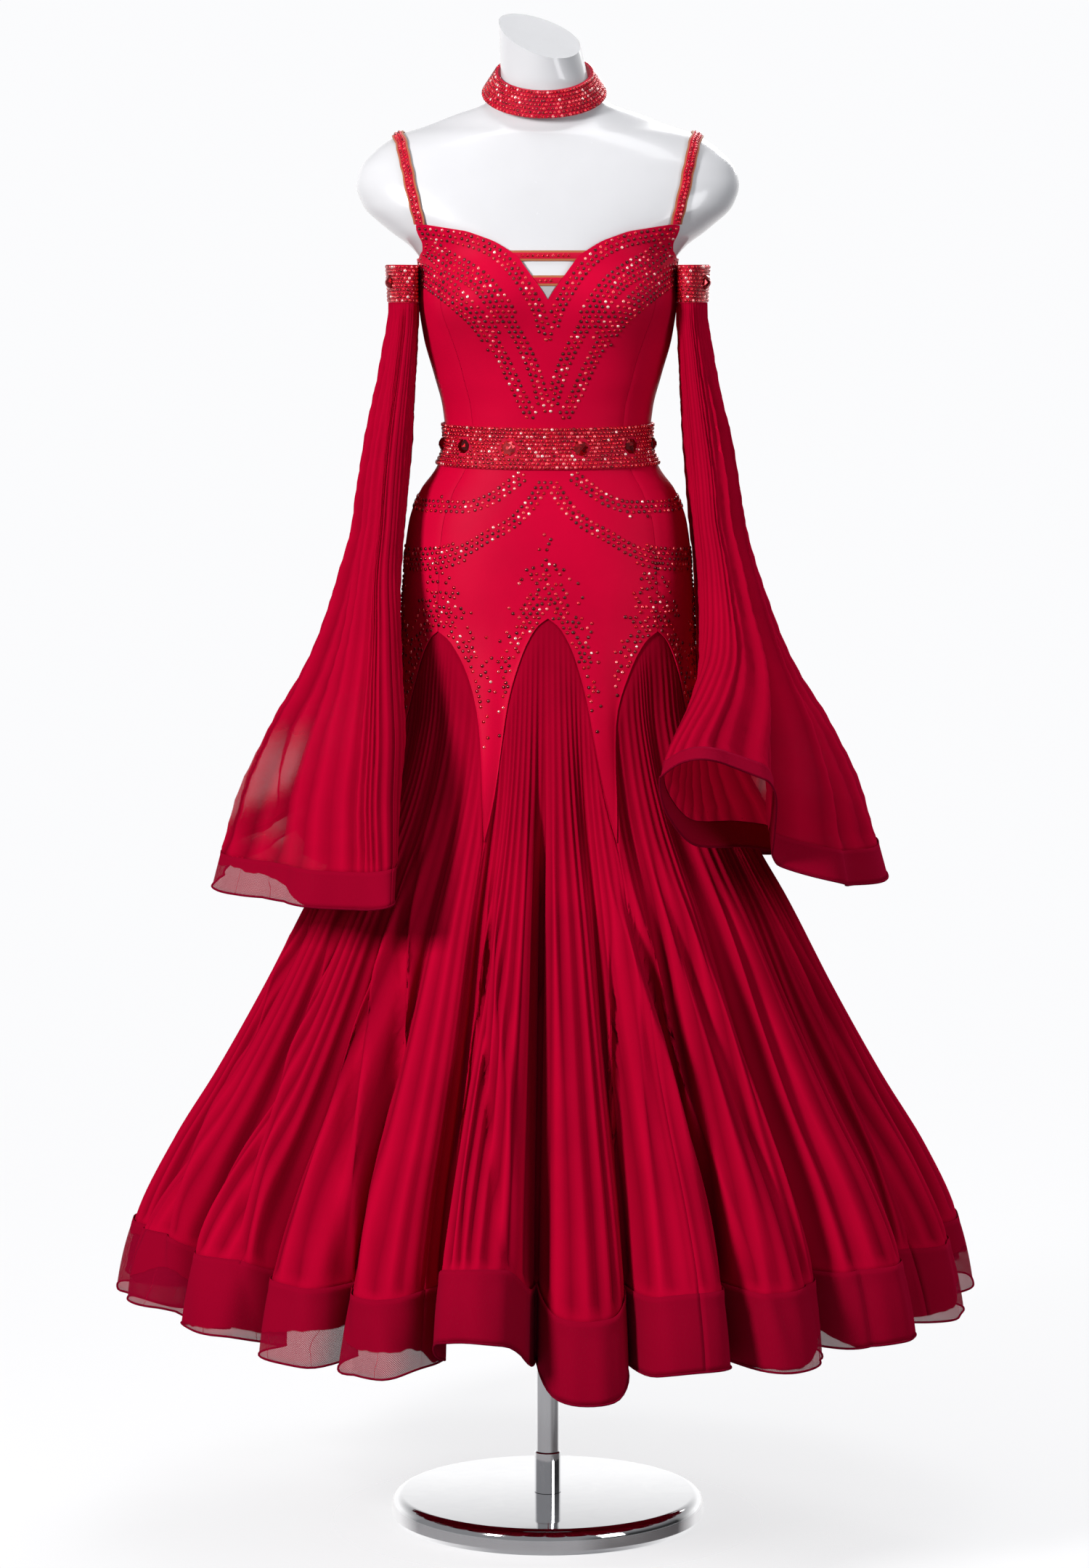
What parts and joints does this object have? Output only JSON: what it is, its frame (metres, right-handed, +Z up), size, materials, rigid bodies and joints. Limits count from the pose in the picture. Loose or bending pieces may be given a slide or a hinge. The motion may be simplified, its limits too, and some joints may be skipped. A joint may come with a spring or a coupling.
{
  "type": "ballroom dance dress on a dress form",
  "caption": "Red ballroom dance dress with fitted bodice, pleated godet skirt, crin hem and separate arm floats, on a white armless dress form with round chrome base.",
  "frame": {"origin": "centre of the stand base's underside, on the floor", "axes": "+Z up, -Y towards the front of the dress, +X to the right when the dress is seen from the front"},
  "size_m": [0.9404, 0.9505, 1.6649],
  "materials": {
    "crepe": "satin stretch crepe",
    "chiffon": "soft pleated chiffon",
    "crin": "sheer crin braid",
    "stoned_band": "covered with red cut stones",
    "form_white": "smooth gloss",
    "chrome": "polished"
  },
  "bodies": {
    "root": {"form_base": "chrome", "form_pole_socket": "chrome", "form_pole": "chrome", "form_torso": "form_white", "panel_front": "crepe", "panel_side_front_left": "crepe", "panel_side_front_right": "crepe", "panel_side_back_left": "crepe", "panel_side_back_right": "crepe", "panel_back_left": "crepe", "panel_back_right": "crepe", "godet_1": "chiffon", "godet_2": "chiffon", "godet_3": "chiffon", "godet_4": "chiffon", "godet_5": "chiffon", "godet_6": "chiffon", "godet_7": "chiffon", "godet_8": "chiffon", "hem_band_1": "crin", "hem_band_2": "crin", "hem_band_3": "crin", "hem_band_4": "crin", "hem_band_5": "crin", "hem_band_6": "crin", "hem_band_7": "crin", "hem_band_8": "crin", "armlet_left": "stoned_band", "armlet_right": "stoned_band", "float_left_outer": "chiffon", "float_left_inner": "chiffon", "float_right_outer": "chiffon", "float_right_inner": "chiffon", "float_band_left_outer": "crin", "float_band_left_inner": "crin", "float_band_right_outer": "crin", "float_band_right_inner": "crin", "belt": "stoned_band", "choker": "stoned_band", "strap_left": "stoned_band", "strap_right": "stoned_band", "neck_bar_1": "stoned_band", "neck_bar_2": "stoned_band"}
  },
  "joints": []
}
